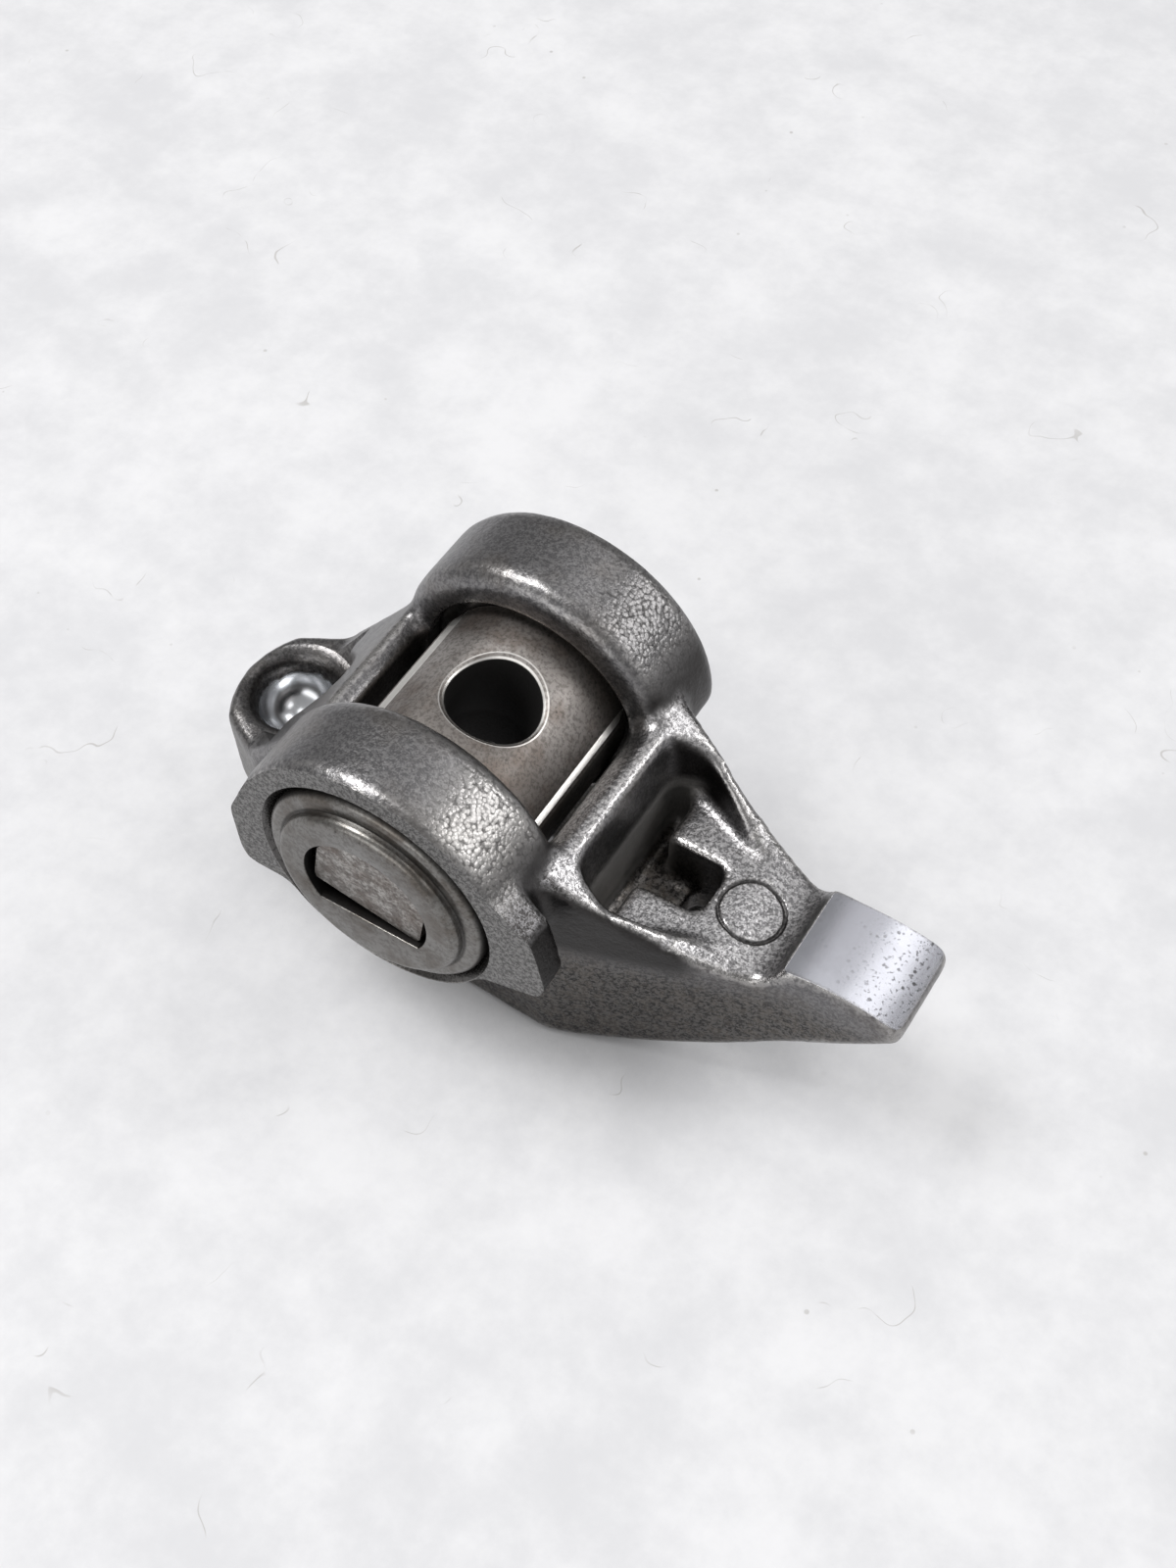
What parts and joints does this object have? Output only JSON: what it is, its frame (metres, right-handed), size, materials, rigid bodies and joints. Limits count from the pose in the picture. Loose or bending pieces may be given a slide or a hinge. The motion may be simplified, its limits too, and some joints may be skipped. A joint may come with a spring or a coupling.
{
  "type": "roller trunnion rocker arm",
  "caption": "Cast steel engine rocker arm with a needle bearing trunnion, a ball socket at one end and a curved valve pad at the other, lying on its back.",
  "frame": {"origin": "pivot centre, on the trunnion axis, midway between the hub faces", "axes": "+X to the valve tip, +Y along the pivot axis to the hub without lugs, +Z away from the flat back that the arm lies on, which is towards the cylinder head in service"},
  "size_m": [0.0712, 0.0364, 0.0354],
  "materials": {
    "cast_steel": "as-cast, shot blasted, dark",
    "cup_steel": "drawn and hardened, lightly stained",
    "trunnion_steel": "ground, lightly stained",
    "needle_steel": "ground and polished"
  },
  "bodies": {
    "rocker": {"rocker_body": "cast_steel", "near_bearing_cup": "cup_steel", "far_bearing_cup": "cup_steel"},
    "trunnion": {"trunnion": "trunnion_steel"},
    "near_needle_row": {"near_needle_01": "needle_steel", "near_needle_02": "needle_steel", "near_needle_03": "needle_steel", "near_needle_04": "needle_steel", "near_needle_05": "needle_steel", "near_needle_06": "needle_steel", "near_needle_07": "needle_steel", "near_needle_08": "needle_steel", "near_needle_09": "needle_steel", "near_needle_10": "needle_steel", "near_needle_11": "needle_steel", "near_needle_12": "needle_steel", "near_needle_13": "needle_steel", "near_needle_14": "needle_steel", "near_needle_15": "needle_steel", "near_needle_16": "needle_steel", "near_needle_17": "needle_steel", "near_needle_18": "needle_steel", "near_needle_19": "needle_steel", "near_needle_20": "needle_steel", "near_needle_21": "needle_steel", "near_needle_22": "needle_steel", "near_needle_23": "needle_steel", "near_needle_24": "needle_steel"},
    "far_needle_row": {"far_needle_01": "needle_steel", "far_needle_02": "needle_steel", "far_needle_03": "needle_steel", "far_needle_04": "needle_steel", "far_needle_05": "needle_steel", "far_needle_06": "needle_steel", "far_needle_07": "needle_steel", "far_needle_08": "needle_steel", "far_needle_09": "needle_steel", "far_needle_10": "needle_steel", "far_needle_11": "needle_steel", "far_needle_12": "needle_steel", "far_needle_13": "needle_steel", "far_needle_14": "needle_steel", "far_needle_15": "needle_steel", "far_needle_16": "needle_steel", "far_needle_17": "needle_steel", "far_needle_18": "needle_steel", "far_needle_19": "needle_steel", "far_needle_20": "needle_steel", "far_needle_21": "needle_steel", "far_needle_22": "needle_steel", "far_needle_23": "needle_steel", "far_needle_24": "needle_steel"}
  },
  "joints": [
    {"name": "trunnion_swing", "type": "hinge", "parent": "rocker", "child": "trunnion", "pos_m": [0, 0, 0], "axis": [0, -1, 0], "range_deg": [0, 21.5]},
    {"name": "near_row_roll", "type": "hinge", "parent": "rocker", "child": "near_needle_row", "pos_m": [0, -0.0135, 0], "axis": [0, -1, 0], "range_deg": [0, 9.4]},
    {"name": "far_row_roll", "type": "hinge", "parent": "rocker", "child": "far_needle_row", "pos_m": [0, 0.0135, 0], "axis": [0, -1, 0], "range_deg": [0, 9.4]}
  ],
  "couplings": [
    {"joint": "near_row_roll", "follows": "trunnion_swing", "ratio": 0.4354},
    {"joint": "far_row_roll", "follows": "trunnion_swing", "ratio": 0.4354}
  ]
}
